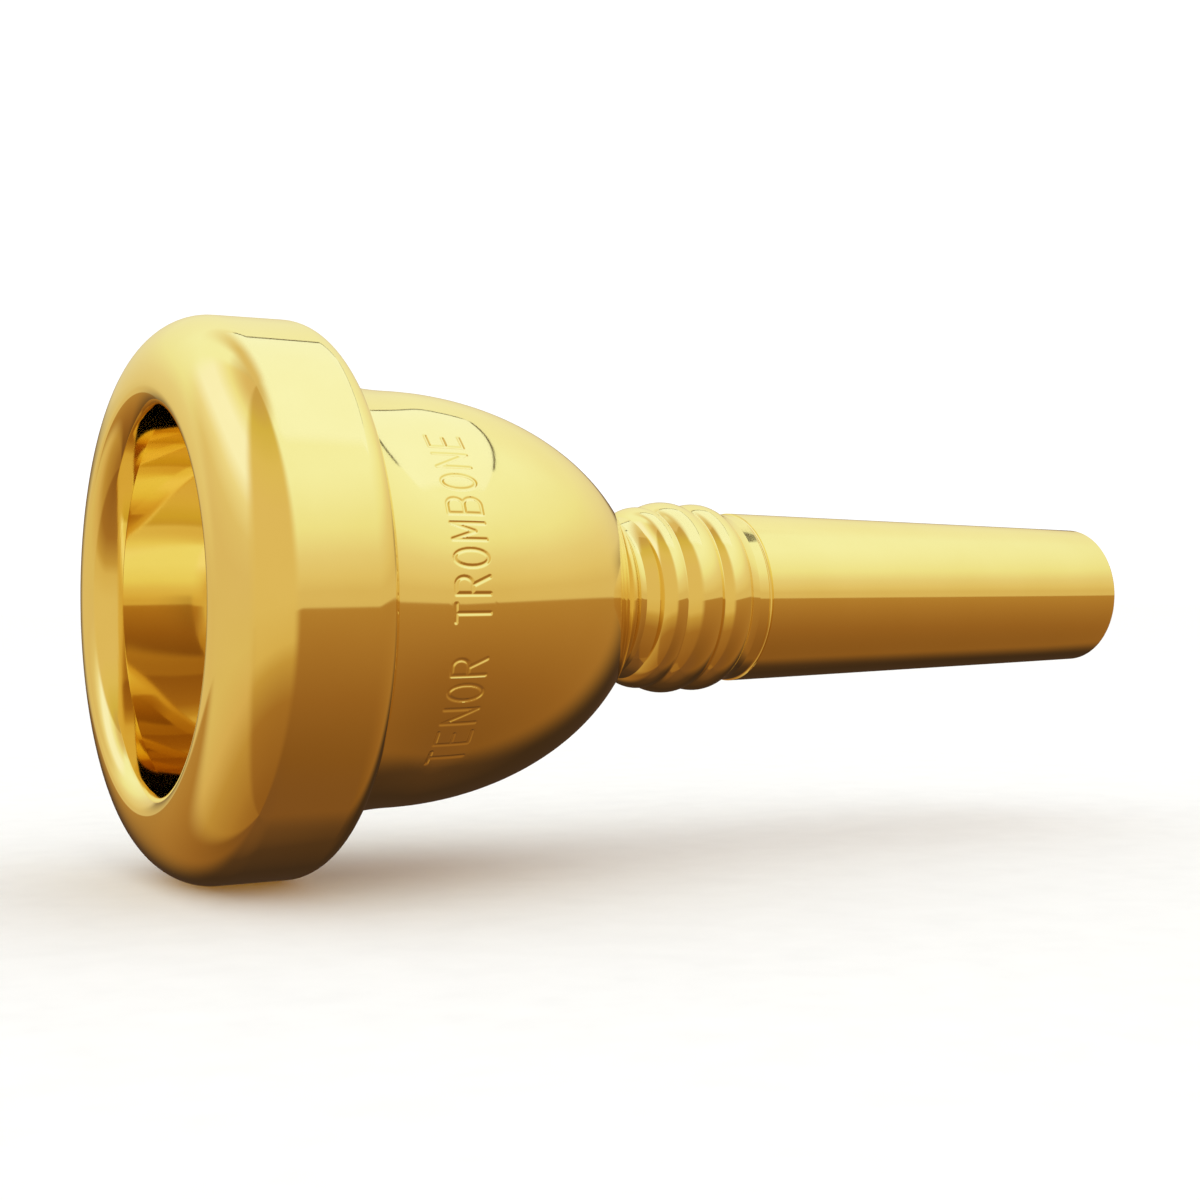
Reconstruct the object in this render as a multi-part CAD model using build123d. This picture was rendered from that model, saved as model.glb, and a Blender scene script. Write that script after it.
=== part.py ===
from build123d import *
import math
import os

# A small-shank tenor trombone mouthpiece: one brass bar turned to shape, struck with silver and
# plated with gold. Millimetres, +Z up, the axis of the turning along X.
# Origin: centre of the flat end of the shank. +X points out of the shank into the instrument,
# so the rim that meets the player's lips is at X = -LENGTH.
# Every station below is a distance from the rim plane, measured along the axis.

# overall
LENGTH = 82.2
RIM_DIAMETER = 38.0

# rim
CROWN_DIAMETER = 28.4        # circle that touches the lips first
ROUNDING_DEPTH = 4.2         # how far back the outer rounding reaches
RIM_DEPTH = 11.0             # rim plane to the flat behind the rim
RIM_BACK_ROUNDING = 2.0
BACK_ROUNDING_SHARE = 0.6    # most of the step behind the rim that its rounding may take up
CROWN_INNER_RADIUS = 1.5     # tighter turn from the crown into the bevel
BITE_DIAMETER = 25.0         # inner edge of the rim, where the cup starts
BITE_DEPTH = 2.45
BITE_ROUNDING = 0.25

# cup
BOWL_CURVE_LENGTH = 15.8     # half length of the ellipse that shapes the bowl's upper wall
BOWL_CURVE_DEPTH = 8.0       # bite edge to where the wall runs on straight, as a funnel
CUP_OUTER_DIAMETER = 29.2
CUP_WIDEST_STATION = 16.8    # centre of the ellipse that shapes the outside of the cup
CUP_OUTER_LENGTH = 19.75     # from there to that ellipse's tip on the axis
WAIST_RADIUS = 20.0          # hollow sweep from behind the rim to the widest part of the cup
WAIST_FILLET = 0.6
WAIST_FILLET_SHARE = 0.25    # most of the same step that the fillet at its foot may take up

# bore
THROAT_DIAMETER = 5.9
THROAT_LENGTH = 3.0
THROAT_ENTRY_ROUNDING = 6.0

# neck, three beads, collar and step line
NECK_DIAMETER = 11.7
NECK_FILLET = 0.9
BEADS = [                    # crest station, crest diameter, radius of the bead's own section
    (38.0, 13.7, 1.7),
    (40.2, 14.52, 2.8),
    (42.95, 14.3, 2.2),
]
VALLEY_FILLET = 0.12
COLLAR_DROP = 0.0865         # how much lower the collar is than the shank's start, on the radius
STEP_LINE_WIDTH = 0.3        # fine turned line between the collar and the shank
STEP_LINE_DEPTH = 0.12

# shank
SHANK_START = 46.3           # just behind the turned line, where the taper starts
SHANK_END_DIAMETER = 11.2
SHANK_END_WALL = 0.85        # metal left around the backbore where it comes out
SHANK_TAPER = 0.0505         # on the diameter, for each unit of length
SHANK_EDGE_BREAK = 0.2

# plating, drawn thicker than the real coats so that each is a closed shell of its own
GOLD_THICKNESS = 0.08
SILVER_THICKNESS = 0.08
PLATED_BORE_MOUTH = 6.0      # how far the coats reach up the bore from the shank's end
BARE_BORE_MARGIN = 0.4       # how far into the wall the coats are cleared along the bare bore
HAIRLINE = 0.002             # left between the drawn coats, so that no two solids share a face
OVERRUN = 1.0                # how far a cutting outline runs past what it cuts

RIM_RADIUS = RIM_DIAMETER / 2
CROWN_RADIUS = CROWN_DIAMETER / 2
BITE_RADIUS = BITE_DIAMETER / 2
CUP_OUTER_RADIUS = CUP_OUTER_DIAMETER / 2
THROAT_RADIUS = THROAT_DIAMETER / 2
NECK_RADIUS = NECK_DIAMETER / 2
SHANK_LENGTH = LENGTH - SHANK_START
SHANK_END_RADIUS = SHANK_END_DIAMETER / 2
BACKBORE_END_RADIUS = SHANK_END_RADIUS - SHANK_END_WALL
SHANK_START_RADIUS = SHANK_END_RADIUS + SHANK_LENGTH * SHANK_TAPER / 2
COLLAR_RADIUS = SHANK_START_RADIUS - COLLAR_DROP
BOWL_TURN = math.asin(BOWL_CURVE_DEPTH / BOWL_CURVE_LENGTH)
FUNNEL_SLOPE = BITE_RADIUS / BOWL_CURVE_LENGTH * math.tan(BOWL_TURN)
FUNNEL_LENGTH = (BITE_RADIUS * math.cos(BOWL_TURN) - THROAT_RADIUS) / FUNNEL_SLOPE
THROAT_START = BITE_DEPTH + BOWL_CURVE_DEPTH + FUNNEL_LENGTH
THROAT_END = THROAT_START + THROAT_LENGTH
BACKBORE_SLOPE = (BACKBORE_END_RADIUS - THROAT_RADIUS) / (LENGTH - THROAT_END)
CUP_MEETS_NECK = CUP_WIDEST_STATION + CUP_OUTER_LENGTH * math.sqrt(
    1 - (NECK_RADIUS / CUP_OUTER_RADIUS) ** 2
)
WAIST_START_RADIUS = CUP_OUTER_RADIUS + WAIST_RADIUS - math.sqrt(
    WAIST_RADIUS**2 - (CUP_WIDEST_STATION - RIM_DEPTH) ** 2
)
STEP_BEHIND_RIM = RIM_RADIUS - WAIST_START_RADIUS
BACK_ROUNDING = min(RIM_BACK_ROUNDING, BACK_ROUNDING_SHARE * STEP_BEHIND_RIM)
REAR_FILLET = min(WAIST_FILLET, WAIST_FILLET_SHARE * STEP_BEHIND_RIM)

# Each outline below is half a section, above the axis. It is drawn `coat` inside the finished
# surface: nothing for the gold, the gold's thickness for the silver, and both for the brass,
# with a hairline between one and the next.


def polygon(*corners):
    """A face with straight sides."""
    return make_face(Polyline(*corners, close=True))


def elliptical_arc(centre, length, height, start, end):
    """Arc of an upright ellipse between two of its angles, in degrees."""
    return EllipticalCenterArc(centre, length, height, start, arc_size=end - start)


def rim_outline(coat):
    """Crown, outer rounding, plain band and the rounded edge behind it."""
    crown_centre = (ROUNDING_DEPTH, CROWN_RADIUS)
    rim_radius = RIM_RADIUS - coat
    band_end = RIM_DEPTH - BACK_ROUNDING
    back = RIM_DEPTH - coat
    back_radius = RIM_RADIUS - BACK_ROUNDING
    edges = [
        Line((coat, 0), (coat, CROWN_RADIUS)),
        elliptical_arc(
            crown_centre, ROUNDING_DEPTH - coat, rim_radius - CROWN_RADIUS, 90, 180
        ),
        Line((ROUNDING_DEPTH, rim_radius), (band_end, rim_radius)),
        CenterArc((band_end, back_radius), BACK_ROUNDING - coat, 0, 90),
        Line((back, back_radius), (back, 0)),
        Line((back, 0), (coat, 0)),
    ]
    return make_face(edges)


def waist_start(coat):
    """Where the hollow sweep of the waist leaves the flat behind the rim."""
    back = RIM_DEPTH - coat
    run = CUP_WIDEST_STATION - back
    sweep_radius = WAIST_RADIUS + coat
    return (back, CUP_OUTER_RADIUS + WAIST_RADIUS - math.sqrt(sweep_radius**2 - run**2))


def cup_outline(coat):
    """Hollow waist, then a quarter of an ellipse about the axis."""
    start = waist_start(coat)
    sweep_radius = WAIST_RADIUS + coat
    sweep = math.degrees(math.asin((CUP_WIDEST_STATION - start[0]) / sweep_radius))
    tip = CUP_WIDEST_STATION + CUP_OUTER_LENGTH - coat
    edges = [
        Line((start[0], 0), start),
        CenterArc(
            (CUP_WIDEST_STATION, CUP_OUTER_RADIUS + WAIST_RADIUS), sweep_radius, 270 - sweep, sweep
        ),
        elliptical_arc(
            (CUP_WIDEST_STATION, 0), CUP_OUTER_LENGTH - coat, CUP_OUTER_RADIUS - coat, 0, 90
        ),
        Line((tip, 0), (start[0], 0)),
    ]
    return make_face(edges)


def stem_outline(coat):
    """Neck, collar and tapered shank, as one stem without its beads."""
    collar_start = BEADS[-1][0]
    neck_radius = NECK_RADIUS - coat
    collar_radius = COLLAR_RADIUS - coat
    end = LENGTH - coat
    return polygon(
        (CUP_WIDEST_STATION, 0),
        (CUP_WIDEST_STATION, neck_radius),
        (collar_start, neck_radius),
        (collar_start, collar_radius),
        (SHANK_START, collar_radius),
        (SHANK_START, SHANK_START_RADIUS - coat),
        (end, SHANK_END_RADIUS - coat),
        (end, 0),
    )


def bead_outline(bead, coat):
    """One bead, round in section."""
    station, diameter, section_radius = bead
    return Pos(station, diameter / 2 - section_radius) * Circle(section_radius - coat)


def step_line_cut(coat):
    """The fine turned line where the shank starts."""
    half_width = STEP_LINE_WIDTH / 2
    tool_radius = (half_width**2 + STEP_LINE_DEPTH**2) / (2 * STEP_LINE_DEPTH)
    tool_height = COLLAR_RADIUS - STEP_LINE_DEPTH + tool_radius
    return Pos(SHANK_START - half_width, tool_height) * Circle(tool_radius + coat)


def mouth_cut(coat):
    """Inside of the rim: the crown's tight inner turn, then the bevel down to the bite edge."""
    turn_centre = Vector(CROWN_INNER_RADIUS, CROWN_RADIUS)
    turn_radius = CROWN_INNER_RADIUS - coat
    to_bite = Vector(BITE_DEPTH, BITE_RADIUS) - turn_centre
    lean = math.acos(CROWN_INNER_RADIUS / to_bite.length)
    normal_angle = math.atan2(to_bite.Y, to_bite.X) - lean
    normal = Vector(math.cos(normal_angle), math.sin(normal_angle))
    along = Vector(-normal.Y, normal.X)
    bevel_start = turn_centre + normal * turn_radius
    bevel_end = bevel_start + along * (to_bite.length * math.sin(lean) + OVERRUN)
    turn_middle = turn_centre + (normal + Vector(-1, 0)).normalized() * turn_radius
    edges = [
        ThreePointArc((coat, CROWN_RADIUS), turn_middle, bevel_start),
        Line(bevel_start, bevel_end),
        Line(bevel_end, (bevel_end.X, 0)),
        Line((bevel_end.X, 0), (-OVERRUN, 0)),
        Line((-OVERRUN, 0), (-OVERRUN, CROWN_RADIUS)),
        Line((-OVERRUN, CROWN_RADIUS), (coat, CROWN_RADIUS)),
    ]
    return make_face(edges)


def bowl_cut(coat):
    """Bowl of the cup: rounded upper wall, widest at the bite edge, then a straight funnel."""
    length = BOWL_CURVE_LENGTH + coat
    radius = BITE_RADIUS + coat
    funnel_start = (BITE_DEPTH + length * math.sin(BOWL_TURN), radius * math.cos(BOWL_TURN))
    funnel_tip = (funnel_start[0] + funnel_start[1] / FUNNEL_SLOPE, 0)
    edges = [
        elliptical_arc((BITE_DEPTH, 0), length, radius, 90 - math.degrees(BOWL_TURN), 90),
        Line((BITE_DEPTH, radius), (BITE_DEPTH, 0)),
        Line((BITE_DEPTH, 0), funnel_tip),
        Line(funnel_tip, funnel_start),
    ]
    return make_face(edges)


def bore_cut(coat):
    """Throat, then the backbore that opens towards the end of the shank."""
    end = LENGTH + OVERRUN
    end_radius = BACKBORE_END_RADIUS + BACKBORE_SLOPE * OVERRUN
    return polygon(
        (CUP_WIDEST_STATION, 0),
        (CUP_WIDEST_STATION, THROAT_RADIUS + coat),
        (THROAT_END, THROAT_RADIUS + coat),
        (end, end_radius + coat),
        (end, 0),
    )


def rounded(face, station, radius, rounding):
    """Rounds the outline's corner nearest to a place."""
    return fillet(face.vertices().sort_by_distance((station, radius))[0], rounding)


def section(coat):
    """Half section of everything inside one surface: the finished one, or one under a coat."""
    face = rim_outline(coat) + cup_outline(coat) + stem_outline(coat)
    for bead in BEADS:
        face += bead_outline(bead, coat)
    face -= step_line_cut(coat)
    face -= mouth_cut(coat) + bowl_cut(coat) + bore_cut(coat)
    face = rounded(face, BITE_DEPTH, BITE_RADIUS, BITE_ROUNDING - coat)
    face = rounded(face, *waist_start(coat), REAR_FILLET + coat)
    face = rounded(face, CUP_MEETS_NECK, NECK_RADIUS, NECK_FILLET + coat)
    for (left, left_crest, _), (right, right_crest, _) in zip(BEADS, BEADS[1:]):
        face = rounded(face, (left + right) / 2, (left_crest + right_crest) / 4, VALLEY_FILLET + coat)
    face = rounded(face, THROAT_START, THROAT_RADIUS, THROAT_ENTRY_ROUNDING - coat)
    return rounded(face, LENGTH, SHANK_END_RADIUS, SHANK_EDGE_BREAK - coat)


def bare_bore_zone(shrink):
    """Along this stretch of throat and backbore the coats give out and the brass is bare."""
    start = THROAT_START + THROAT_LENGTH / 2 + shrink
    end = LENGTH - PLATED_BORE_MOUTH - shrink
    end_radius = THROAT_RADIUS + BACKBORE_SLOPE * (end - THROAT_END)
    return polygon(
        (start, 0),
        (start, THROAT_RADIUS + BARE_BORE_MARGIN),
        (end, end_radius + BARE_BORE_MARGIN),
        (end, 0),
    )


def turned(half_section):
    """Moves a half section so that the shank ends at the origin, and spins it about the axis."""
    return revolve(Pos(-LENGTH, 0, 0) * half_section, Axis.X).solid()


def main():
    silver_outside = GOLD_THICKNESS + HAIRLINE
    silver_inside = silver_outside + SILVER_THICKNESS
    finished = section(0)
    cleared = bare_bore_zone(0)
    brass = section(silver_inside + HAIRLINE) + (finished & bare_bore_zone(HAIRLINE))
    nodes = {
        "gold_plate": turned(finished - section(GOLD_THICKNESS) - cleared),
        "silver_strike": turned(section(silver_outside) - section(silver_inside) - cleared),
        "brass_body": turned(brass),
    }
    os.makedirs("parts", exist_ok=True)
    for name, shape in nodes.items():
        export_step(shape, f"parts/{name}.step")


main()
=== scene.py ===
import math

import bpy
import numpy as np
from mathutils import Euler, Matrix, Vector


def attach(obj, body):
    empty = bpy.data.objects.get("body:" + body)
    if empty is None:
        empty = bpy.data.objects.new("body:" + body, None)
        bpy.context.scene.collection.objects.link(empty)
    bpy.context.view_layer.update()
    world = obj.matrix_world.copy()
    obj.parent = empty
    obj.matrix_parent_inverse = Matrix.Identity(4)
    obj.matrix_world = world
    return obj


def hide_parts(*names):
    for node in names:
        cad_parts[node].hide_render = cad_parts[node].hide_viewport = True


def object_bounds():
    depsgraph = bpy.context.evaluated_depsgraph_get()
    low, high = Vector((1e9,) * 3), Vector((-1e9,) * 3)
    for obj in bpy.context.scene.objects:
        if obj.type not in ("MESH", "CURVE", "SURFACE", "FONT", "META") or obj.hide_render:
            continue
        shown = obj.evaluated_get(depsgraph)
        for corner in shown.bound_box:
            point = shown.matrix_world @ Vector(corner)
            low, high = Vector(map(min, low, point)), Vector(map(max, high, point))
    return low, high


# A gold-plated trombone mouthpiece, lying along X with its lip end at -X. All lengths are in
# millimetres, stations are counted along the axis from the rim plane, and angles and bearings
# are in degrees. Sizes of the turning are those of the CAD part.

MM = 0.001

# rim
LENGTH = 82.2
RIM_RADIUS = 19.0
CROWN_RADIUS = 14.2
ROUNDING_DEPTH = 4.2
RIM_DEPTH = 11.0
RIM_BACK_ROUNDING = 2.0
CROWN_INNER_RADIUS = 1.5
BITE_RADIUS = 12.5
BITE_DEPTH = 2.45
BITE_ROUNDING = 0.25

# cup
BOWL_CURVE_LENGTH = 15.8
BOWL_CURVE_DEPTH = 8.0
CUP_RADIUS = 14.6
CUP_WIDEST = 16.8
CUP_REACH = 19.75
WAIST_RADIUS = 20.0
WAIST_FILLET = 0.6

# bore, plated only at its two ends
THROAT_RADIUS = 2.95
THROAT_LENGTH = 3.0
THROAT_ROUNDING = 6.0
BACKBORE_END_RADIUS = 4.75
PLATED_BORE_MOUTH = 6.0

# neck, beads (station, crest radius and section radius), collar and step line
NECK_RADIUS = 5.85
NECK_FILLET = 0.9
BEADS = [(38.0, 6.85, 1.7), (40.2, 7.26, 2.8), (42.95, 7.15, 2.2)]
VALLEY_FILLET = 0.12
COLLAR_RADIUS = 6.42
STEP_LINE_WIDTH = 0.3
STEP_LINE_DEPTH = 0.12
STEP_LEAN = 0.02

# shank
SHANK_START = 46.3
SHANK_END_RADIUS = 5.6
SHANK_TAPER = 0.0505
SHANK_EDGE = 0.2

# mesh: how finely it is turned, and the angle between points along each arc
GOLD_THICKNESS = 0.08
TURN_STEPS = 160
LINING_STRIDE = 5
STRAIGHT_PARTS = 6
WALL_STEP = 1.2
WALL_END = 89.4
WAIST_STEP = 1.37
CUP_STEP = 1.6
ROUNDING_STEP = 2.5
BACK_STEP = 4.5
FILLET_STEP = 7.0
EDGE_STEP = 15.0
VALLEY_STEP = 18.0
LINE_STEP = 20.0
MERGE_GAP = 0.002
SMOOTH_ANGLE = 35

# engraving on the cup, as single strokes
MARK = "TENOR TROMBONE"
MARK_PITCH = 1.78
MARK_HEIGHT = 2.45
MARK_WIDTH = 1.12
MARK_BASELINE = 18.6
GROOVE_DEPTH = 0.07
GROOVE_HALF_WIDTH = 0.15
MARK_MARGIN = 0.35
MARK_CUTS = 9

# finishes: the spacing or grain that each pattern is drawn at
HAZE_SIZE = 6
POLISH_PITCH = 0.12
POLISH_STRETCH = 0.02
SILVER_CLOUD_SIZE = 2
REAMER_PITCH = 0.9
STAIN_SIZE = 3
PAPER_FIBRE_SIZE = 3
SCRATCH_DEPTH = 0.01

# What the metal mirrors is a studio of four walls, each a list of elevation and colour there.
# The front wall goes all round, and each of the others covers part of it. The bearing of its
# middle comes first, clockwise from +Y, then how far to each side it is full, then gone.
FRONT_WALL = [
    (-85, "#734E2C"), (-60, "#7C5428"), (-38, "#8C612F"), (-16, "#9E743B"), (-4.2, "#A77F42"),
    (-3.6, "#CAB57D"), (2, "#CAB57D"), (7, "#D1C18C"), (15, "#D6CCA0"), (25, "#DEE2BB"),
    (45, "#E4EFDC"), (68, "#E4EFDC"), (85, "#C6B17D"),
]
OTHER_WALLS = [
    (32, 22, 52, [
        (-85, "#6C4A2B"), (-60, "#4A3423"), (-40, "#3A2A1E"), (-20, "#3C2C20"), (-8, "#4A3628"),
        (5, "#6A5238"), (9, "#CDBF94"), (15, "#D6CFA6"), (25, "#DEDFBC"), (45, "#E3EAD2"),
        (65, "#CDBC8A"), (85, "#CBB784"),
    ]),
    (-78, 30, 46, [
        (-85, "#90652F"), (-60, "#A1793C"), (-38, "#B18E4D"), (-22, "#C7AC72"), (-8, "#CBB87F"),
        (10, "#CBB784"), (20, "#D0C08F"), (30, "#DCD6B4"), (40, "#E9F1F5"), (54, "#E9F1F5"),
        (68, "#DEDFB6"), (85, "#CAB37F"),
    ]),
    (-150, 30, 48, [
        (-85, "#835828"), (-60, "#8D622F"), (-38, "#986D34"), (-22, "#B69550"), (-15, "#C8AF6E"),
        (0, "#CDB87C"), (35, "#CEB97F"), (52, "#CDBA76"), (68, "#C4B15E"), (85, "#B99D62"),
    ]),
]
WALL_STRENGTH = 1.25
TABLE_TILT = 4.0
TABLE_TILT_BEARING = 85
PAPER_STRENGTH = 1.12
PAPER_SIZE = 4000

# softbox overhead and two edges of its dark frame: left, near, right and far sides
SOFTBOX = (-60, -170, 165, 215)
SOFTBOX_HEIGHT = 300
SOFTBOX_COLOUR = "#E7F4F1"
SOFTBOX_STRENGTH = 1.25
SOFTBOX_FADE = (0.35, 0.02, 0.12, 0.004)
BACK_FRAME = (-10, 214, 166, 223)
SIDE_FRAME = (162, -60, 167, 222)
FRAME_HEIGHT = 299
FRAME_COLOUR = "#5E4A30"
FRAME_STRENGTH = 0.7
FRAME_FADE = (0.1, 0.1, 0.1, 0.1)

# camera
SENSOR_WIDTH = 36
LENS = 57.2
NEAREST = 5
CAMERA_PLACE = (-118.33, -124.17, 0.29)
CAMERA_TURN = (89.82, 0.32, -29.81)

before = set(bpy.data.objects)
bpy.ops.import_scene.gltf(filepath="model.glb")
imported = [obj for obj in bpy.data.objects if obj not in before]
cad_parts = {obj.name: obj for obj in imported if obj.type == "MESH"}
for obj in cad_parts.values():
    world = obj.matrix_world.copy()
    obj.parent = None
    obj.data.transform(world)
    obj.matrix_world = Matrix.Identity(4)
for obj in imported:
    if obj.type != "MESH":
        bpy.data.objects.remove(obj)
cad_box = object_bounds()


# ---------------------------------------------------------------- the outline of the turning

def curve(centre, half_length, half_height, start, end, step=4.0):
    """Points along a circle or an upright ellipse, between two angles in degrees."""
    count = max(2, math.ceil(abs(end - start) / step))
    angles = [math.radians(start + (end - start) * i / count) for i in range(count + 1)]
    return [
        (centre[0] + half_length * math.cos(a), centre[1] + half_height * math.sin(a))
        for a in angles
    ]


def angle_to(centre, point):
    return math.degrees(math.atan2(point[1] - centre[1], point[0] - centre[0]))


def ellipse_fillet(centre, half_length, half_height, reach, height):
    """Angle on the ellipse, in degrees, where a point `reach` outside it comes to that height."""
    low, high = 1.0, 89.0
    for _ in range(50):
        middle = (low + high) / 2
        a = math.radians(middle)
        normal = Vector((half_height * math.cos(a), half_length * math.sin(a))).normalized()
        if half_height * math.sin(a) + reach * normal.y < height:
            low = middle
        else:
            high = middle
    return low, (
        centre[0] + half_length * math.cos(a) + reach * normal.x,
        centre[1] + half_height * math.sin(a) + reach * normal.y,
    )


def funnel():
    """Where the bowl's straight funnel starts, its slope, and where it would meet the throat."""
    turn = math.asin(BOWL_CURVE_DEPTH / BOWL_CURVE_LENGTH)
    slope = BITE_RADIUS / BOWL_CURVE_LENGTH * math.tan(turn)
    length = (BITE_RADIUS * math.cos(turn) - THROAT_RADIUS) / slope
    return math.degrees(turn), slope, BITE_DEPTH + BOWL_CURVE_DEPTH + length


def bowl_points():
    """From the middle of the throat up the funnel and the rounded wall to the bite edge."""
    turn, slope, throat_start = funnel()
    lean = math.atan(slope)
    easing = (throat_start + THROAT_ROUNDING * math.tan(lean / 2), THROAT_RADIUS + THROAT_ROUNDING)
    points = [(throat_start + THROAT_LENGTH / 2, THROAT_RADIUS)]
    points += curve(easing, THROAT_ROUNDING, THROAT_ROUNDING, 270, 270 - math.degrees(lean))
    wall = curve((BITE_DEPTH, 0), BOWL_CURVE_LENGTH, BITE_RADIUS, 90 - turn, WALL_END, WALL_STEP)
    low, high = Vector(points[-1]), Vector(wall[0])
    points += [tuple(low.lerp(high, i / STRAIGHT_PARTS)) for i in range(1, STRAIGHT_PARTS)]
    return points + wall


def rim_points():
    """Bite edge, bevel, crown, outer rounding, plain band and the flat behind the rim."""
    turn_centre = Vector((CROWN_INNER_RADIUS, CROWN_RADIUS))
    to_bite = Vector((BITE_DEPTH, BITE_RADIUS)) - turn_centre
    lean = math.degrees(math.acos(CROWN_INNER_RADIUS / to_bite.length))
    bevel_angle = (math.degrees(math.atan2(to_bite.y, to_bite.x)) - lean) % 360
    slope = math.radians(bevel_angle + 90)
    setback = BITE_ROUNDING * math.tan(math.radians(270 - bevel_angle) / 2)
    along = Vector((math.cos(slope), math.sin(slope)))
    bite_end = Vector((BITE_DEPTH, BITE_RADIUS)) - along * setback
    bite_centre = bite_end + Vector((-along.y, along.x)) * BITE_ROUNDING
    points = curve(bite_centre, BITE_ROUNDING, BITE_ROUNDING, 270, bevel_angle)
    points += curve(turn_centre, CROWN_INNER_RADIUS, CROWN_INNER_RADIUS, bevel_angle, 180)
    band = RIM_RADIUS - CROWN_RADIUS
    points += curve((ROUNDING_DEPTH, CROWN_RADIUS), ROUNDING_DEPTH, band, 180, 90, ROUNDING_STEP)
    back = (RIM_DEPTH - RIM_BACK_ROUNDING, RIM_RADIUS - RIM_BACK_ROUNDING)
    points += curve(back, RIM_BACK_ROUNDING, RIM_BACK_ROUNDING, 90, 0, BACK_STEP)
    return points


def cup_points():
    """Fillet behind the rim, hollow waist, bulge of the cup and the fillet into the neck."""
    waist_centre = (CUP_WIDEST, CUP_RADIUS + WAIST_RADIUS)
    run = CUP_WIDEST - RIM_DEPTH - WAIST_FILLET
    sweep = math.degrees(math.asin(run / (WAIST_RADIUS - WAIST_FILLET)))
    drop = math.sqrt((WAIST_RADIUS - WAIST_FILLET) ** 2 - run**2)
    fillet = (RIM_DEPTH + WAIST_FILLET, waist_centre[1] - drop)
    points = curve(fillet, WAIST_FILLET, WAIST_FILLET, 180, 270 - sweep, FILLET_STEP)
    points += curve(waist_centre, WAIST_RADIUS, WAIST_RADIUS, 270 - sweep, 270, WAIST_STEP)[1:]
    centre = (CUP_WIDEST, 0)
    angle, fillet = ellipse_fillet(
        centre, CUP_REACH, CUP_RADIUS, NECK_FILLET, NECK_RADIUS + NECK_FILLET
    )
    a = math.radians(angle)
    touch = (centre[0] + CUP_REACH * math.cos(a), CUP_RADIUS * math.sin(a))
    points += curve(centre, CUP_REACH, CUP_RADIUS, 90, angle, CUP_STEP)[1:]
    turn = angle_to(fillet, touch) % 360
    points += curve(fillet, NECK_FILLET, NECK_FILLET, turn, 270, FILLET_STEP)[1:]
    return points


def bead_points():
    """Three beads with small fillets in the valleys between them."""
    centres = [(station, crest - section) for station, crest, section in BEADS]
    sections = [section for _, _, section in BEADS]
    neck_gap = NECK_RADIUS - centres[0][1]
    collar_gap = COLLAR_RADIUS - centres[-1][1]
    starts = [180 - math.degrees(math.asin(neck_gap / sections[0]))]
    ends = []
    valleys = []
    for i in range(len(BEADS) - 1):
        left, right = Vector(centres[i]), Vector(centres[i + 1])
        reach_left = sections[i] + VALLEY_FILLET
        reach_right = sections[i + 1] + VALLEY_FILLET
        gap = right - left
        along = (reach_left**2 - reach_right**2 + gap.length_squared) / (2 * gap.length)
        up = Vector((-gap.y, gap.x)).normalized()
        valley = left + gap.normalized() * along + up * math.sqrt(reach_left**2 - along**2)
        valleys.append(valley)
        ends.append(angle_to(left, valley))
        starts.append(angle_to(right, valley))
    ends.append(math.degrees(math.asin(collar_gap / sections[-1])))
    points = []
    for i, (centre, section) in enumerate(zip(centres, sections)):
        points += curve(centre, section, section, starts[i], ends[i])
        if i < len(valleys):
            start = angle_to(valleys[i], centre) % 360
            end = angle_to(valleys[i], centres[i + 1]) % 360
            arc = curve(valleys[i], VALLEY_FILLET, VALLEY_FILLET, start, end, VALLEY_STEP)
            points += arc[1:-1]
    return points


def shank_points():
    """Step line, tapered shank, its broken edge, the flat end and the plated bore mouth."""
    half_width = STEP_LINE_WIDTH / 2
    tool = (half_width**2 + STEP_LINE_DEPTH**2) / (2 * STEP_LINE_DEPTH)
    tool_centre = (SHANK_START - half_width, COLLAR_RADIUS - STEP_LINE_DEPTH + tool)
    rise = tool_centre[1] - COLLAR_RADIUS
    span = math.degrees(math.acos(rise / tool))
    points = curve(tool_centre, tool, tool, 270 - span, 270 + span, LINE_STEP)
    lean = math.atan(SHANK_TAPER / 2)
    start_radius = SHANK_END_RADIUS + (LENGTH - SHANK_START) * SHANK_TAPER / 2
    points.append((SHANK_START + STEP_LEAN, start_radius))
    for i in range(1, STRAIGHT_PARTS):
        station = SHANK_START + (LENGTH - SHANK_START - SHANK_EDGE) * i / STRAIGHT_PARTS
        points.append((station, start_radius - (station - SHANK_START) * math.tan(lean)))
    edge = (LENGTH - SHANK_EDGE, SHANK_END_RADIUS - SHANK_EDGE)
    points += curve(edge, SHANK_EDGE, SHANK_EDGE, 90, 0, EDGE_STEP)
    points.append((LENGTH, BACKBORE_END_RADIUS))
    throat_end = funnel()[2] + THROAT_LENGTH
    slope = (BACKBORE_END_RADIUS - THROAT_RADIUS) / (LENGTH - throat_end)
    for share in (0.5, 1.0):
        depth = PLATED_BORE_MOUTH * share
        points.append((LENGTH - depth, BACKBORE_END_RADIUS - slope * depth))
    return points


def lining_of(outline):
    """The hidden inner face of the plating, back from the bore's end to the throat."""
    points = [Vector(p) for p in outline]
    kept = sorted(set(range(0, len(points), LINING_STRIDE)) | {len(points) - 1})
    lining = []
    for i in reversed(kept):
        before, after = points[max(i - 1, 0)], points[min(i + 1, len(points) - 1)]
        along = (after - before).normalized()
        lining.append(tuple(points[i] + Vector((along.y, -along.x)) * GOLD_THICKNESS))
    return lining


def select_only(piece):
    bpy.ops.object.select_all(action="DESELECT")
    piece.select_set(True)
    bpy.context.view_layer.objects.active = piece


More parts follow.
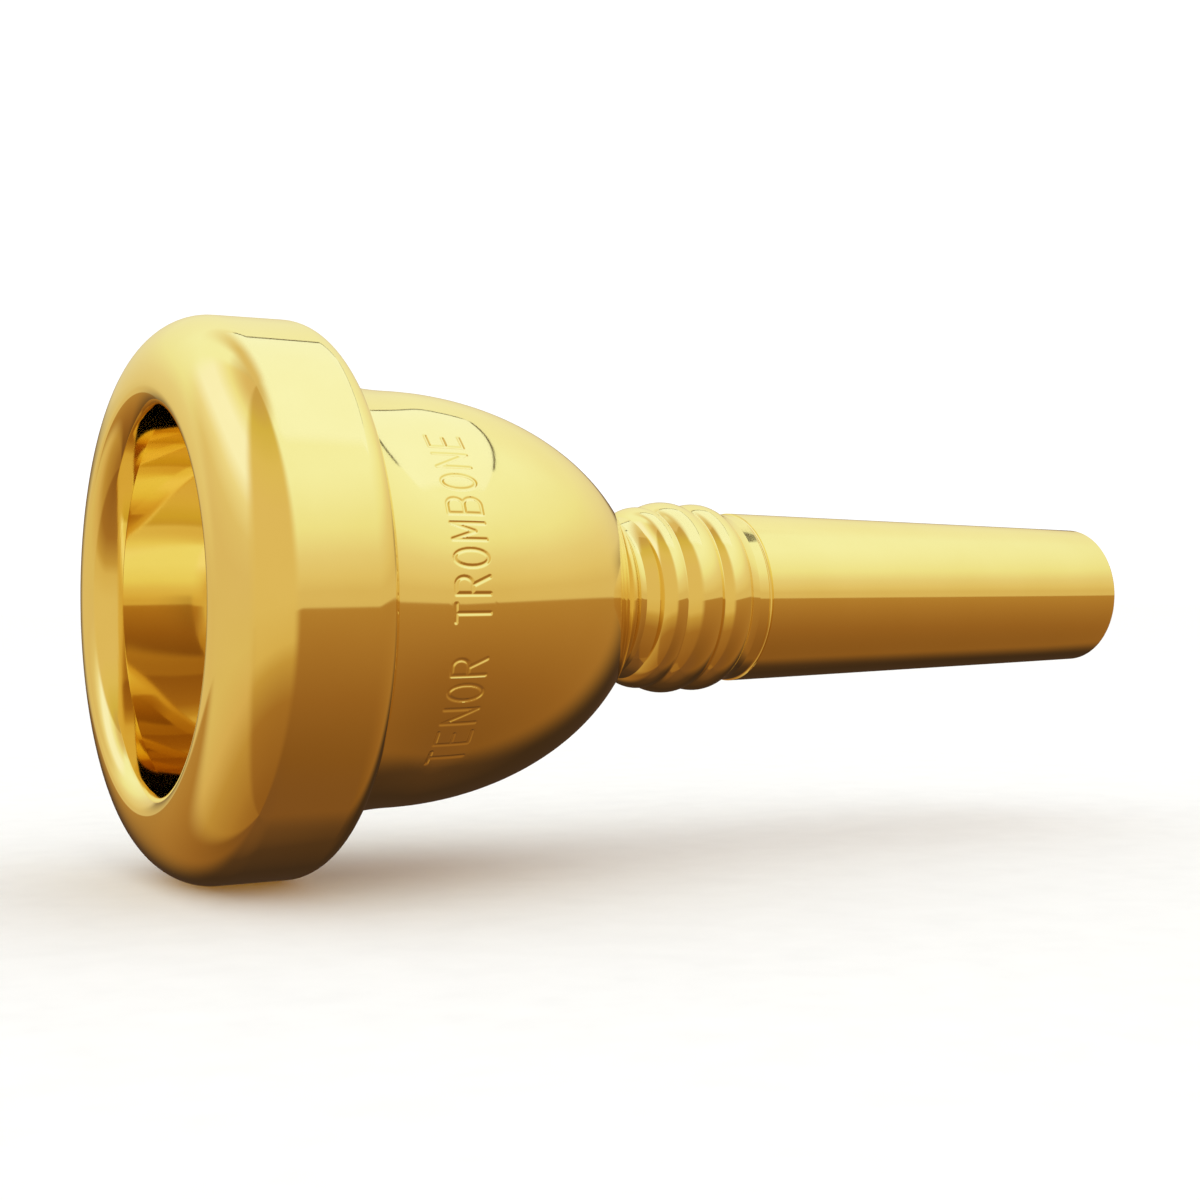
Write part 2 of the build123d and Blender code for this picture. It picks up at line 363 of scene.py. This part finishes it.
def draw_outline(name, points):
    """A wire in the XZ plane, extruded point by point from one vertex."""
    bpy.ops.object.select_all(action="DESELECT")
    first = Vector(((points[0][0] - LENGTH) * MM, 0, points[0][1] * MM))
    bpy.ops.mesh.primitive_plane_add(size=MM, location=first)
    piece = bpy.context.object
    piece.name = name
    piece.data.name = name
    bpy.ops.object.transform_apply(location=True)
    bpy.ops.object.mode_set(mode="EDIT")
    bpy.ops.mesh.select_mode(type="VERT")
    bpy.ops.mesh.select_all(action="SELECT")
    bpy.ops.mesh.merge(type="CENTER")
    for here, there in zip(points, points[1:]):
        step = ((there[0] - here[0]) * MM, 0, (there[1] - here[1]) * MM)
        bpy.ops.mesh.extrude_region_move(TRANSFORM_OT_translate={"value": step})
    bpy.ops.object.mode_set(mode="OBJECT")
    return piece


def spin_outline(piece):
    """Closes the wire and turns it about the axis, as the lathe did."""
    last = len(piece.data.vertices) - 1
    bpy.ops.object.mode_set(mode="EDIT")
    bpy.ops.mesh.select_all(action="DESELECT")
    bpy.ops.object.mode_set(mode="OBJECT")
    for index in (0, last):
        piece.data.vertices[index].select = True
    bpy.ops.object.mode_set(mode="EDIT")
    bpy.ops.mesh.edge_face_add()
    bpy.ops.mesh.select_all(action="SELECT")
    bpy.ops.mesh.spin(steps=TURN_STEPS, angle=math.tau, center=(0, 0, 0), axis=(1, 0, 0))
    bpy.ops.mesh.select_all(action="SELECT")
    bpy.ops.mesh.remove_doubles(threshold=MERGE_GAP * MM)
    bpy.ops.mesh.normals_make_consistent(inside=False)
    bpy.ops.object.mode_set(mode="OBJECT")


# ---------------------------------------------------------------- the engraved words

def stroke_letters():
    """Single-line capitals, as an engraving point draws them, in a box one wide and one high."""
    ring = curve((0.5, 0.5), 0.5, 0.5, 0, 360, EDGE_STEP)
    upper = curve((0.55, 0.76), 0.42, 0.24, 90, -90, VALLEY_STEP)
    lower = curve((0.55, 0.26), 0.45, 0.26, 90, -90, VALLEY_STEP)
    return {
        "T": [[(0, 1), (1, 1)], [(0.5, 1), (0.5, 0)]],
        "E": [[(0.95, 1), (0, 1), (0, 0), (0.95, 0)], [(0, 0.52), (0.8, 0.52)]],
        "N": [[(0, 0), (0, 1), (1, 0), (1, 1)]],
        "M": [[(0, 0), (0, 1), (0.5, 0.3), (1, 1), (1, 0)]],
        "O": [ring],
        "R": [[(0, 0), (0, 1)] + upper + [(0, 0.52)], [(0.5, 0.52), (1, 0)]],
        "B": [[(0, 0), (0, 1)] + upper + [(0, 0.52)], [(0.5, 0.52)] + lower + [(0, 0)]],
    }


def mark_strokes():
    """All the strokes of the words as pairs of points: arc length up the cup, then station."""
    letters = stroke_letters()
    strokes = []
    start = -(len(MARK) - 1) * MARK_PITCH / 2 - MARK_WIDTH / 2
    for i, letter in enumerate(MARK):
        for line in letters.get(letter, []):
            placed = [
                (start + i * MARK_PITCH + x * MARK_WIDTH, MARK_BASELINE - y * MARK_HEIGHT)
                for x, y in line
            ]
            strokes += list(zip(placed, placed[1:]))
    return np.array(strokes)


def distance_to_strokes(points, strokes):
    """How far each point lies from the nearest stroke."""
    starts, ends = strokes[:, 0], strokes[:, 1]
    runs = ends - starts
    nearest = np.full(len(points), np.inf)
    for start, run in zip(starts, runs):
        share = np.clip(((points - start) @ run) / (run @ run), 0, 1)
        gap = np.linalg.norm(points - start - share[:, None] * run, axis=1)
        nearest = np.minimum(nearest, gap)
    return nearest


def cup_radius(stations):
    """Outside radius of the cup, hollow before its widest station and bulging after it."""
    run = stations - CUP_WIDEST
    hollow = CUP_RADIUS + WAIST_RADIUS - np.sqrt(WAIST_RADIUS**2 - np.minimum(run, 0) ** 2)
    bulge = CUP_RADIUS * np.sqrt(1 - (np.maximum(run, 0) / CUP_REACH) ** 2)
    return np.where(run < 0, hollow, bulge)


def engrave(piece):
    """Cuts the words into the side of the cup, in a finely divided patch of its own mesh."""
    strokes = mark_strokes()
    half_angle = (abs(strokes[:, :, 0]).max() + MARK_MARGIN) / CUP_RADIUS
    low = strokes[:, :, 1].min() - MARK_MARGIN
    high = strokes[:, :, 1].max() + MARK_MARGIN
    mesh = piece.data
    bpy.ops.object.mode_set(mode="EDIT")
    bpy.ops.mesh.select_mode(type="FACE")
    bpy.ops.mesh.select_all(action="DESELECT")
    bpy.ops.object.mode_set(mode="OBJECT")
    for face in mesh.polygons:
        centre = face.center / MM
        station = centre.x + LENGTH
        radius = math.hypot(centre.y, centre.z)
        outside = radius > float(cup_radius(np.array(station))) - GOLD_THICKNESS / 2
        aside = abs(math.atan2(centre.z, -centre.y))
        face.select = bool(low < station < high and outside and aside < half_angle)
    bpy.ops.object.mode_set(mode="EDIT")
    bpy.ops.mesh.subdivide(number_cuts=MARK_CUTS)
    bpy.ops.object.mode_set(mode="OBJECT")
    count = len(mesh.vertices)
    places = np.empty(count * 3)
    mesh.vertices.foreach_get("co", places)
    places = places.reshape(-1, 3) / MM
    touched = np.zeros(count, bool)
    mesh.vertices.foreach_get("select", touched)
    stations = places[:, 0] + LENGTH
    angles = np.arctan2(places[:, 2], -places[:, 1])
    flat = np.stack([angles * CUP_RADIUS, stations], axis=1)[touched]
    share = np.clip(distance_to_strokes(flat, strokes) / GROOVE_HALF_WIDTH, 0, 1)
    radii = cup_radius(stations[touched]) - GROOVE_DEPTH * (1 - share**2)
    places[touched, 1] = -radii * np.cos(angles[touched])
    places[touched, 2] = radii * np.sin(angles[touched])
    mesh.vertices.foreach_set("co", (places * MM).ravel())
    mesh.update()


# ---------------------------------------------------------------- finishes

def linear(hex_colour):
    """An sRGB hex colour as linear RGBA."""
    channels = [int(hex_colour[i:i + 2], 16) / 255 for i in (1, 3, 5)]
    return [c / 12.92 if c <= 0.04045 else ((c + 0.055) / 1.055) ** 2.4 for c in channels] + [1]


def node(tree, kind, settings=None, **links):
    """Adds a node with its settings, and links or sets its inputs: by name, or by number where
    names repeat, as _0 for the first."""
    made = tree.nodes.new(kind)
    for name, value in (settings or {}).items():
        setattr(made, name, value)
    for name, value in links.items():
        socket = made.inputs[int(name[1:]) if name[1:].isdigit() else name.replace("_", " ")]
        if isinstance(value, bpy.types.NodeSocket):
            tree.links.new(value, socket)
        else:
            socket.default_value = value
    return made


def new_material(name):
    material = bpy.data.materials.new(name)
    material.use_nodes = True
    material.node_tree.nodes.clear()
    return material, material.node_tree


def ramp(tree, factor, stops):
    made = node(tree, "ShaderNodeValToRGB", Fac=factor)
    elements = made.color_ramp.elements
    while len(elements) < len(stops):
        elements.new(0.5)
    for element, (place, colour) in zip(elements, stops):
        element.position = place
        element.color = linear(colour)
    return made.outputs["Color"]


def polished_gold_plate():
    """Hard gold electroplate on a buffed turning: a warm mirror, faintly hazed by handling and
    by polishing lines that run round it. Real lines are finer than 0.12 mm, and are drawn as
    coarse as that to show."""
    material, tree = new_material("polished_gold_plate")
    place = node(tree, "ShaderNodeTexCoord").outputs["Object"]
    haze = node(tree, "ShaderNodeTexNoise", Vector=place, Scale=1 / (HAZE_SIZE * MM), Detail=4.0)
    tone = ramp(tree, haze.outputs["Fac"], [(0.35, "#F7E3A1"), (0.68, "#F9E6A7")])
    stretched = node(
        tree, "ShaderNodeMapping", {"vector_type": "POINT"}, Vector=place,
        Scale=(1, POLISH_STRETCH, POLISH_STRETCH),
    )
    lines = node(
        tree, "ShaderNodeTexNoise", Vector=stretched.outputs["Vector"],
        Scale=1 / (POLISH_PITCH * MM), Detail=2.0,
    )
    rough = node(
        tree, "ShaderNodeMapRange", Value=haze.outputs["Fac"],
        From_Min=0.3, From_Max=0.7, To_Min=0.04, To_Max=0.065,
    )
    bump = node(
        tree, "ShaderNodeBump", Strength=0.03, Distance=SCRATCH_DEPTH * MM,
        Height=lines.outputs["Fac"],
    )
    shader = node(
        tree, "ShaderNodeBsdfPrincipled", Base_Color=tone, Metallic=1.0,
        Roughness=rough.outputs["Result"], Normal=bump.outputs["Normal"],
    )
    node(tree, "ShaderNodeOutputMaterial", Surface=shader.outputs["BSDF"])
    return material


def bright_silver_strike():
    """Silver electroplate under the gold: a pale cool metal seen only at the coat's edges."""
    material, tree = new_material("bright_silver_strike")
    place = node(tree, "ShaderNodeTexCoord").outputs["Object"]
    cloud = node(
        tree, "ShaderNodeTexNoise", Vector=place, Scale=1 / (SILVER_CLOUD_SIZE * MM), Detail=3.0
    )
    tone = ramp(tree, cloud.outputs["Fac"], [(0.35, "#D9D6CE"), (0.7, "#EEEBE4")])
    rough = node(
        tree, "ShaderNodeMapRange", Value=cloud.outputs["Fac"],
        From_Min=0.3, From_Max=0.7, To_Min=0.14, To_Max=0.22,
    )
    shader = node(
        tree, "ShaderNodeBsdfPrincipled", Base_Color=tone, Metallic=1.0,
        Roughness=rough.outputs["Result"],
    )
    node(tree, "ShaderNodeOutputMaterial", Surface=shader.outputs["BSDF"])
    return material


def bored_brass():
    """Free-cutting brass as the reamer left it: dull yellow with rings round the bore, which are
    drawn coarser than a reamer's so that they show."""
    material, tree = new_material("bored_brass")
    place = node(tree, "ShaderNodeTexCoord").outputs["Object"]
    rings = node(
        tree, "ShaderNodeTexWave", {"bands_direction": "X"}, Vector=place,
        Scale=1 / (REAMER_PITCH * MM), Distortion=0.4, Detail=2.0,
    )
    stain = node(
        tree, "ShaderNodeTexNoise", Vector=place, Scale=1 / (STAIN_SIZE * MM), Detail=5.0
    )
    tone = ramp(tree, stain.outputs["Fac"], [(0.3, "#8A6A32"), (0.72, "#C9A356")])
    rough = node(
        tree, "ShaderNodeMapRange", Value=stain.outputs["Fac"],
        From_Min=0.3, From_Max=0.7, To_Min=0.26, To_Max=0.4,
    )
    bump = node(
        tree, "ShaderNodeBump", Strength=0.2, Distance=SCRATCH_DEPTH * MM,
        Height=rings.outputs["Fac"],
    )
    shader = node(
        tree, "ShaderNodeBsdfPrincipled", Base_Color=tone, Metallic=1.0,
        Roughness=rough.outputs["Result"], Normal=bump.outputs["Normal"],
    )
    node(tree, "ShaderNodeOutputMaterial", Surface=shader.outputs["BSDF"])
    return material


# ---------------------------------------------------------------- pieces

def finish_piece(piece, material):
    piece.data.materials.clear()
    piece.data.materials.append(material)
    select_only(piece)
    bpy.ops.object.shade_smooth_by_angle(angle=math.radians(SMOOTH_ANGLE))


outline = bowl_points() + rim_points() + cup_points() + bead_points() + shank_points()
gold = draw_outline("gold_plating", outline + lining_of(outline))
spin_outline(gold)
engrave(gold)
finish_piece(gold, polished_gold_plate())
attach(gold, "root")
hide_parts("gold_plate")

for name, make in (("silver_strike", bright_silver_strike), ("brass_body", bored_brass)):
    cad_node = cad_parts[name]
    cad_node.data.materials.clear()
    cad_node.data.materials.append(make())


# ---------------------------------------------------------------- studio

def wall_colour(tree, height, wall):
    """The wall's colour at a height, which goes from 0 straight down to 1 straight up."""
    stops = [((math.sin(math.radians(angle)) + 1) / 2, colour) for angle, colour in wall]
    return ramp(tree, height, stops)


def world_light():
    """Even white for the paper and for the eye. What the metal mirrors is the studio: pale walls
    that cool and brighten as they rise, and a brown table top below a hard edge, which leans."""
    world = bpy.data.worlds.new("studio")
    bpy.context.scene.world = world
    world.use_nodes = True
    world.cycles.sampling_method = "NONE"
    tree = world.node_tree
    tree.nodes.clear()
    direction = node(tree, "ShaderNodeTexCoord").outputs["Generated"]
    parts = node(tree, "ShaderNodeSeparateXYZ", Vector=direction).outputs
    tilt, toward = math.radians(TABLE_TILT), math.radians(TABLE_TILT_BEARING)
    upright = (
        -math.sin(tilt) * math.sin(toward), -math.sin(tilt) * math.cos(toward), math.cos(tilt)
    )
    rise = node(
        tree, "ShaderNodeVectorMath", {"operation": "DOT_PRODUCT"}, _0=direction, _1=upright
    )
    height = node(
        tree, "ShaderNodeMapRange", Value=rise.outputs["Value"],
        From_Min=-1.0, From_Max=1.0, To_Min=0.0, To_Max=1.0,
    ).outputs["Result"]
    level = node(tree, "ShaderNodeCombineXYZ", X=parts["X"], Y=parts["Y"]).outputs["Vector"]
    heading = node(tree, "ShaderNodeVectorMath", {"operation": "NORMALIZE"}, _0=level).outputs[0]
    colour = wall_colour(tree, height, FRONT_WALL)
    for bearing, full, faded, wall in OTHER_WALLS:
        a = math.radians(bearing)
        facing = node(
            tree, "ShaderNodeVectorMath", {"operation": "DOT_PRODUCT"},
            _0=heading, _1=(math.sin(a), math.cos(a), 0),
        )
        share = node(
            tree, "ShaderNodeMapRange", {"interpolation_type": "SMOOTHSTEP"},
            Value=facing.outputs["Value"], From_Min=math.cos(math.radians(faded)),
            From_Max=math.cos(math.radians(full)), To_Min=0.0, To_Max=1.0,
        )
        blend = node(
            tree, "ShaderNodeMix", {"data_type": "RGBA"},
            _0=share.outputs["Result"], _6=colour, _7=wall_colour(tree, height, wall),
        )
        colour = blend.outputs[2]
    mirrored = node(tree, "ShaderNodeLightPath").outputs["Is Glossy Ray"]
    studio = node(tree, "ShaderNodeBackground", Color=colour, Strength=WALL_STRENGTH)
    paper = node(tree, "ShaderNodeBackground", Color=linear("#FFFFFF"), Strength=PAPER_STRENGTH)
    mixed = node(
        tree, "ShaderNodeMixShader", _0=mirrored, _1=paper.outputs[0], _2=studio.outputs[0]
    )
    node(tree, "ShaderNodeOutputWorld", Surface=mixed.outputs[0])


def glowing(name, colour, strength, fade):
    """A lit panel that fades out towards its left, right, near and far sides. Each fade is a
    share of the panel's own size."""
    material, tree = new_material(name)
    light = node(tree, "ShaderNodeEmission", Color=linear(colour), Strength=strength)
    place = node(tree, "ShaderNodeUVMap", {"uv_map": "panel"}).outputs["UV"]
    across = node(tree, "ShaderNodeSeparateXYZ", Vector=place)
    shares = []
    for axis, near, far in (("X", fade[0], fade[1]), ("Y", fade[2], fade[3])):
        for start, end in ((0, near), (1, 1 - far)):
            shares.append(node(
                tree, "ShaderNodeMapRange", {"interpolation_type": "SMOOTHSTEP"},
                Value=across.outputs[axis], From_Min=start, From_Max=end, To_Min=0.0, To_Max=1.0,
            ).outputs["Result"])
    covered = shares[0]
    for share in shares[1:]:
        product = node(tree, "ShaderNodeMath", {"operation": "MULTIPLY"}, _0=covered, _1=share)
        covered = product.outputs["Value"]
    clear = node(tree, "ShaderNodeBsdfTransparent")
    mixed = node(
        tree, "ShaderNodeMixShader", _0=covered, _1=clear.outputs[0], _2=light.outputs[0]
    )
    node(tree, "ShaderNodeOutputMaterial", Surface=mixed.outputs[0])
    return material


def card(name, sides, height, material):
    """A level panel that only mirrors see, given by its left, near, right and far sides."""
    left, near, right, far = sides
    corners = [(x, y, height) for x, y in ((left, near), (right, near), (right, far), (left, far))]
    mesh = bpy.data.meshes.new(name)
    mesh.from_pydata([Vector(c) * MM for c in corners], [], [range(len(corners))])
    layer = mesh.uv_layers.new(name="panel")
    for loop, place in zip(layer.data, ((0, 0), (1, 0), (1, 1), (0, 1))):
        loop.uv = place
    mesh.materials.append(material)
    piece = bpy.data.objects.new(name, mesh)
    bpy.context.scene.collection.objects.link(piece)
    for sight in ("visible_camera", "visible_diffuse", "visible_shadow", "visible_transmission"):
        setattr(piece, sight, False)


def cards():
    """A softbox overhead, with the dark edge of its frame at the back and on the right."""
    lit = glowing("softbox", SOFTBOX_COLOUR, SOFTBOX_STRENGTH, SOFTBOX_FADE)
    edge = glowing("softbox_frame", FRAME_COLOUR, FRAME_STRENGTH, FRAME_FADE)
    card("softbox", SOFTBOX, SOFTBOX_HEIGHT, lit)
    card("softbox_back_frame", BACK_FRAME, FRAME_HEIGHT, edge)
    card("softbox_side_frame", SIDE_FRAME, FRAME_HEIGHT, edge)


def floor():
    """Matt white paper, a little warm, with soft fibres far coarser than real ones."""
    bpy.ops.object.select_all(action="DESELECT")
    bpy.ops.mesh.primitive_plane_add(size=PAPER_SIZE * MM, location=(0, 0, cad_box[0].z))
    piece = bpy.context.object
    piece.name = "floor"
    bpy.ops.object.transform_apply(location=True)
    material, tree = new_material("matt_white_paper")
    place = node(tree, "ShaderNodeTexCoord").outputs["Object"]
    fibre = node(
        tree, "ShaderNodeTexNoise", Vector=place, Scale=1 / (PAPER_FIBRE_SIZE * MM), Detail=6.0
    )
    tone = ramp(tree, fibre.outputs["Fac"], [(0.3, "#F7F7F6"), (0.7, "#FBFBFA")])
    shader = node(tree, "ShaderNodeBsdfPrincipled", Base_Color=tone, Roughness=0.9)
    node(tree, "ShaderNodeOutputMaterial", Surface=shader.outputs["BSDF"])
    piece.data.materials.append(material)
    piece.visible_glossy = False


def camera():
    made = bpy.data.cameras.new("camera")
    made.sensor_width = SENSOR_WIDTH
    made.lens = LENS
    made.clip_start = NEAREST * MM
    holder = bpy.data.objects.new("camera", made)
    bpy.context.scene.collection.objects.link(holder)
    holder.location = Vector(CAMERA_PLACE) * MM
    holder.rotation_euler = Euler([math.radians(turn) for turn in CAMERA_TURN], "XYZ")
    bpy.context.scene.camera = holder


world_light()
cards()
floor()
camera()
bpy.context.scene.view_settings.view_transform = "Standard"
